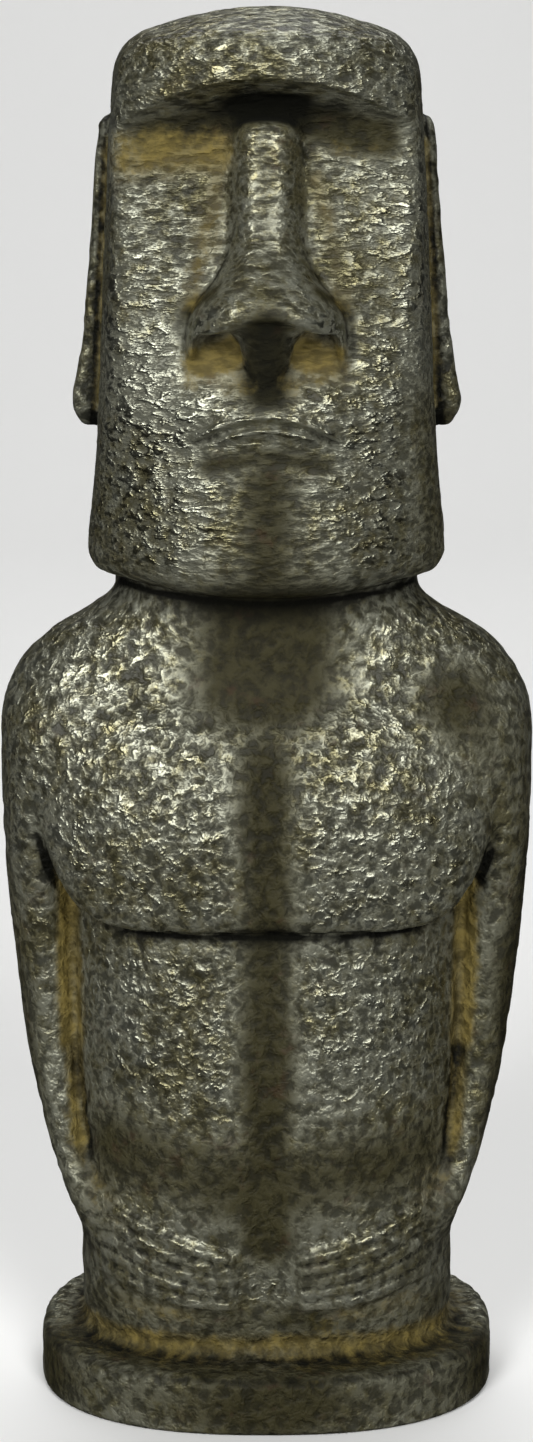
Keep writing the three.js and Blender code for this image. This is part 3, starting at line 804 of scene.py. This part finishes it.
def patinaMap(points):  # the shares, from 0 to 1, that the finish reads at each point
    x, y, z = points.T
    outward = unitOf(slopeAt(points)[1])
    narrow, wide = wash["narrow"], wash["wide"]
    crease = 1 - distanceAt(points + outward * narrow) / narrow
    hollow = 1 - distanceAt(points + outward * wide) / wide
    ridge = 1 + distanceAt(points - outward * narrow) / narrow
    foot = wash["footStrength"] * bell(z - wash["footHeight"], wash["footReach"])
    foot = foot * ramp(*wash["footHollow"], hollow)
    baseEdge = wash["edgeDarkening"] * ramp(*wash["edgeRange"], ridge) * (z < wash["edgeBelow"])
    onLips = bell(z - wash["lipHeight"], wash["lipReach"]) * (np.abs(x) < wash["lipHalfSpan"]) * (y < 0)
    onFingers = ramp(*wash["fingerLow"], z) * ramp(*wash["fingerHigh"], z) * (y < wash["fingerFront"])
    soft = 1 - wash["lipCrease"] * onLips - wash["fingerCrease"] * onFingers
    # the painted shadow lines, together with the darkened edges of the base, join the creases' painted shade
    paintedShadow = np.maximum(baseEdge, runsOver(points, wash["paintedShadow"]))
    return {
        "crease": np.maximum(ramp(*wash["creaseRange"], crease) * soft, paintedShadow),
        "hollow": ramp(*wash["hollowRange"], hollow) * (1 - wash["lipHollow"] * onLips),
        "ridge": ramp(*wash["ridgeRange"], ridge),
        "ochre": np.maximum(foot, runsOver(points, wash["ochre"])),
        "paintedShade": runsOver(points, wash["paintedShade"]),
        "paintedHighlight": runsOver(points, wash["paintedHighlight"]),
        "hammering": hammeringAt(points),
        "onFace": ramp(*wash["faceFront"], y) * ramp(*wash["faceLow"], z),
    }


places = np.empty(3 * len(figure.data.vertices))
figure.data.vertices.foreach_get("co", places)
for name, values in patinaMap(places.reshape(-1, 3) * 1000).items():
    layer = figure.data.attributes.new(name, "FLOAT", "POINT")
    layer.data.foreach_set("value", np.clip(values, 0, 1).astype(np.float32))
print("patina mapped")


class Channel:  # a shader socket that Python's operators work on
    def __init__(self, board, socket):
        self.board = board
        self.socket = socket

    def __add__(self, other):
        return self.board.maths("ADD", self, other)

    def __sub__(self, other):
        return self.board.maths("SUBTRACT", self, other)

    def __rsub__(self, other):
        return self.board.maths("SUBTRACT", other, self)

    def __mul__(self, other):
        return self.board.maths("MULTIPLY", self, other)

    __radd__ = __add__
    __rmul__ = __mul__


class Board:  # the nodes of one material, or of the world
    def __init__(self, owner):
        owner.use_nodes = True
        self.tree = owner.node_tree
        self.tree.nodes.clear()

    def node(self, kind, settings, inputs, output=0):
        made = self.tree.nodes.new(kind)
        for name, value in settings.items():
            setattr(made, name, value)
        for name, value in inputs.items():
            if isinstance(value, Channel):
                self.tree.links.new(value.socket, made.inputs[name])
            else:
                made.inputs[name].default_value = value
        return Channel(self, made.outputs[output]) if made.outputs else None

    def maths(self, operation, first, second):
        return self.node("ShaderNodeMath", {"operation": operation}, {0: first, 1: second})

    def clamped(self, value):
        return self.node("ShaderNodeClamp", {}, {"Value": value})

    def fade(self, value, low, high):  # 0 below low, 1 above high, smooth between
        return self.node("ShaderNodeMapRange", {"interpolation_type": "SMOOTHSTEP"},
                         {"Value": value, "From Min": low, "From Max": high})

    def blend(self, first, second, share):
        return self.node("ShaderNodeMix", {"data_type": "RGBA"}, {0: share, 6: first, 7: second}, 2)

    def noise(self, where, size, detail, rough, warp=0.0):
        return self.node("ShaderNodeTexNoise", {}, {
            "Vector": where, "Scale": 1000 / size, "Detail": detail, "Roughness": rough,
            "Distortion": warp}, "Fac")

    def stored(self, name):
        return self.node("ShaderNodeAttribute", {"attribute_name": name}, {}, "Fac")


# The skin's finish: a dark olive brown patina with a satin sheen, rubbed to pewter and bronze where it stands
# proud, with ochre wash. Painted shade darkens its creases, hollows and dimples and leaves it brown where
# shade falls, and painted highlights rub it bright where highlights fall. A noise is its size in millimetres,
# its detail, its roughness and its warp, and bump depths are in metres. A range is the two values between
# which something fades in.
patina = {
    "dark": (0.009, 0.008, 0.0025, 1),
    "olive": (0.030, 0.026, 0.008, 1),
    "russet": (0.036, 0.017, 0.007, 1),
    "pewter": (0.330, 0.335, 0.265, 1),
    "bronze": (0.185, 0.170, 0.092, 1),
    "ochre": (0.190, 0.145, 0.042, 1),
    # the near black that painted shade darkens towards
    "paintedShading": (0.004, 0.004, 0.002, 1),
    "lumps": (1.5, 2.5, 0.55, 0.25),  # the noises
    "streaks": (1.2, 2.5, 0.55, 0.2),
    "grain": (0.32, 2.0, 0.6),
    "clouds": (14, 4.0, 0.6),
    "specks": (1.8, 4.0, 0.7),
    "rust": (4, 3.0, 0.7),
    "faceStretch": (0.6, 1.0, 1.35),
    "lumpRange": (0.3, 0.7),  # the relief and its bump
    "lumpDepth": 0.0003,
    "leastLump": 0.15,
    "grainDepth": 0.00004,
    "shadeShares": (0.35, 0.25, 0.2, 0.2),  # cloud, speck, relief and grain in the brown
    "oliveRange": (0.3, 0.66),
    "rustRange": (0.58, 0.72),
    "rustShare": 0.5,
    "paintedShadeCloud": 0.7,  # the painted shade's unrubbed areas and how patchy they are
    "paintedShadeSpeck": 0.4,
    "paintedShadeRange": (0.1, 0.8),
    "paintedShadeDepth": 0.97,
    "paintedShadeEvenness": 0.65,
    "paintedShadeLevel": 0.3,
    "reliefShare": 0.65,  # the rubbed high spots
    "reliefRange": (0.2, 0.8),
    "rubbedRelief": 0.85,
    "rubbedRidge": 0.3,
    "rubbedHighlight": 0.3,
    "rubbedAll": 0.1,
    "metalRange": (0.38, 0.58),
    "pitRange": (0.45, 0.0),  # painted shade in the dimples
    "pitShading": 0.8,
    "paintedShadePits": 0.6,
    "washSpeck": 0.9,  # the ochre wash and how broken it is
    "washCloud": 0.6,
    "washRange": (0.18, 0.8),
    "washEdge": (0.03, 0.2),
    "washCover": 0.4,
    "washRelief": 0.5,
    "creaseShading": 0.8,  # painted shade in the creases and hollows
    "hollowShading": 0.55,
    "washShadeCut": 0.75,
    "highlightShadeCut": 0.5,
    "satin": 0.2,  # the roughness, and what adds to it
    "roughWash": 0.25,
    "roughShading": 0.35,
    "roughPaintedShade": 0.3,
    "roughSpeck": 0.2,
    "lacquer": 1.23,  # the skin's refraction, lower than a real lacquer's for a soft sheen
}


def patinaMaterial():
    material = bpy.data.materials.new("patinatedResin")
    board = Board(material)
    where = board.node("ShaderNodeTexCoord", {}, {}, "Object")
    along = board.node("ShaderNodeVectorMath", {"operation": "MULTIPLY"},
                       {0: where, 1: patina["faceStretch"]})
    crease, hollow, ridge = board.stored("crease"), board.stored("hollow"), board.stored("ridge")
    ochre, paintedHighlight, hammering = board.stored("ochre"), board.stored("paintedHighlight"), board.stored("hammering")
    lumps, streaks = board.noise(where, *patina["lumps"]), board.noise(along, *patina["streaks"])
    relief = board.fade(lumps + (streaks - lumps) * board.stored("onFace"), *patina["lumpRange"])
    grain = board.noise(where, *patina["grain"])
    cloud, speck = board.noise(where, *patina["clouds"]), board.noise(where, *patina["specks"])

    shares = patina["shadeShares"]
    shade = cloud * shares[0] + speck * shares[1] + relief * shares[2] + grain * shares[3]
    colour = board.blend(patina["dark"], patina["olive"], board.fade(shade, *patina["oliveRange"]))
    rust = board.fade(board.noise(where, *patina["rust"]), *patina["rustRange"])
    colour = board.blend(colour, patina["russet"], rust * patina["rustShare"])
    # painted shade: where shade falls, the skin stays brown, dark and unrubbed
    patchy = (cloud - 0.5) * patina["paintedShadeCloud"] + (speck - 0.5) * patina["paintedShadeSpeck"]
    paintedShade = board.fade(board.stored("paintedShade") + patchy, *patina["paintedShadeRange"])
    # painted shade darkens the dimples of the hammered relief
    pits = board.fade(relief, *patina["pitRange"]) * hammering
    colour = board.blend(colour, patina["paintedShading"], pits * (patina["pitShading"] - paintedShade * patina["paintedShadePits"]))

    broken = (speck - 0.5) * patina["washSpeck"] + (cloud - 0.5) * patina["washCloud"]
    washed = board.fade(ochre + broken, *patina["washRange"]) * board.fade(ochre, *patina["washEdge"])
    # painted shade: the creases, hollows and painted shadow lines are darkened towards near black, less under
    # the ochre wash and the painted highlights
    paintedShading = crease * patina["creaseShading"] + hollow * patina["hollowShading"]
    paintedShadingShare = board.clamped(paintedShading * (1 - washed * patina["washShadeCut"]) * (1 - paintedHighlight * patina["highlightShadeCut"]))
    colour = board.blend(colour, patina["paintedShading"], paintedShadingShare)
    cover = relief * patina["washRelief"] + patina["washCover"]
    colour = board.blend(colour, patina["ochre"], washed * cover)

    raised = relief * patina["reliefShare"] + grain * (1 - patina["reliefShare"])
    raised = board.fade(raised, *patina["reliefRange"])
    even = raised + (patina["paintedShadeLevel"] - raised) * paintedShade * patina["paintedShadeEvenness"]
    # the highlight runs add painted highlights, rubbing the skin to bright metal where highlights fall
    proud = even * patina["rubbedRelief"] + ridge * patina["rubbedRidge"] + paintedHighlight * patina["rubbedHighlight"]
    rubbed = board.clamped(proud + patina["rubbedAll"]) * (1 - paintedShade * patina["paintedShadeDepth"])
    rubbed = rubbed * (1 - paintedShadingShare) * (1 - washed)
    metalShare = board.fade(cloud * 0.5 + speck * 0.5, *patina["metalRange"])
    metal = board.blend(patina["bronze"], patina["pewter"], metalShare)
    colour = board.blend(colour, metal, rubbed)

    height = relief * (hammering * (1 - patina["leastLump"]) + patina["leastLump"])
    wave = board.node("ShaderNodeBump", {}, {
        "Strength": 1.0, "Distance": patina["lumpDepth"], "Height": height})
    bump = board.node("ShaderNodeBump", {}, {
        "Strength": 1.0, "Distance": patina["grainDepth"], "Height": grain, "Normal": wave})
    rough = washed * patina["roughWash"] + paintedShadingShare * patina["roughShading"] + paintedShade * patina["roughPaintedShade"]
    rough = board.clamped(rough + speck * patina["roughSpeck"] + patina["satin"])
    shader = board.node("ShaderNodeBsdfPrincipled", {}, {
        "Base Color": colour, "Roughness": rough, "Metallic": rubbed, "Normal": bump,
        "IOR": patina["lacquer"]})
    board.node("ShaderNodeOutputMaterial", {}, {"Surface": shader})
    return material


figure.data.materials.clear()
figure.data.materials.append(patinaMaterial())
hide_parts("moai_figure")
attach(figure, "root")
print("patina made")

# The studio, in metres: a pale sweep, a tall soft light on each side, one overhead, and a dim surround.
studio = {
    "sweepHalf": 2.4,
    "sweepBack": 1.2,
    "sweepRadius": 0.9,
    "sweepSteps": 15,
    "sweepHeight": 3.0,
    "sweepColour": (0.88, 0.88, 0.87, 1),
    "sweepRoughness": 0.9,
    "surround": 0.027,
    "backdrop": 1.0,
    "skyColour": (0.97, 0.98, 1, 1),
    "leftLight": {"at": (-0.48, -0.98, 0.68), "aim": (0, 0, 0.11), "size": (0.34, 0.76), "power": 10},
    "rightLight": {"at": (0.35, -1.02, 0.74), "aim": (0, 0, 0.12), "size": (0.36, 0.76), "power": 9},
    "topLight": {"at": (0.0, 0.9, 1.9), "aim": (0, 0.7, 0), "size": (1.6, 1.6), "power": 26},
    "cameraAt": (0.0, -0.345, 0.144),
    "cameraDrop": 9.1,
    "lens": 66.3,
    "sensor": 36,
    "nearest": 0.01,
}


def sweepPiece():
    half, bend, radius = studio["sweepHalf"], studio["sweepBack"], studio["sweepRadius"]
    steps = studio["sweepSteps"]
    turns = [math.radians(90 * n / steps) for n in range(steps + 1)]
    profile = [(-half, 0)] + [(bend + radius * math.sin(a), radius * (1 - math.cos(a))) for a in turns]
    profile.append((bend + radius, studio["sweepHeight"]))
    corners = [(x, y, z) for y, z in profile for x in (-half, half)]
    mesh = bpy.data.meshes.new("sweep")
    mesh.from_pydata(corners, [], [(n, n + 1, n + 3, n + 2) for n in range(0, len(corners) - 2, 2)])
    mesh.shade_smooth()
    paper = bpy.data.materials.new("palePaper")
    board = Board(paper)
    shader = board.node("ShaderNodeBsdfPrincipled", {}, {
        "Base Color": studio["sweepColour"], "Roughness": studio["sweepRoughness"]})
    board.node("ShaderNodeOutputMaterial", {}, {"Surface": shader})
    mesh.materials.append(paper)
    piece = bpy.data.objects.new("sweep", mesh)
    bpy.context.scene.collection.objects.link(piece)
    piece.visible_glossy = False  # so the paper isn't mirrored in the dark satin skin


def softLight(name):
    light = studio[name]
    lamp = bpy.data.lights.new(name, "AREA")
    lamp.shape = "RECTANGLE"
    lamp.size, lamp.size_y = light["size"]
    lamp.energy = light["power"]
    piece = bpy.data.objects.new(name, lamp)
    piece.location = light["at"]
    piece.rotation_euler = (Vector(light["aim"]) - Vector(light["at"])).to_track_quat("-Z", "Y").to_euler()
    bpy.context.scene.collection.objects.link(piece)


def surroundWorld():  # the camera sees a bright backdrop, and the figure is lit by a dim one
    world = bpy.data.worlds.new("surround")
    bpy.context.scene.world = world
    board = Board(world)
    seen = board.node("ShaderNodeLightPath", {}, {}, "Is Camera Ray")
    level = board.node("ShaderNodeMapRange", {}, {
        "Value": seen, "To Min": studio["surround"], "To Max": studio["backdrop"]})
    sky = board.node("ShaderNodeBackground", {}, {"Color": studio["skyColour"], "Strength": level})
    board.node("ShaderNodeOutputWorld", {}, {"Surface": sky})


def studioCamera():
    lens = bpy.data.cameras.new("camera")
    lens.sensor_width = studio["sensor"]
    lens.lens = studio["lens"]
    lens.clip_start = studio["nearest"]
    camera = bpy.data.objects.new("camera", lens)
    camera.location = studio["cameraAt"]
    camera.rotation_euler = (math.radians(90 - studio["cameraDrop"]), 0, 0)
    bpy.context.scene.collection.objects.link(camera)
    bpy.context.scene.camera = camera


sweepPiece()
for name in ("leftLight", "rightLight", "topLight"):
    softLight(name)
surroundWorld()
studioCamera()
bpy.context.scene.view_settings.view_transform = "Standard"
print("studio set")
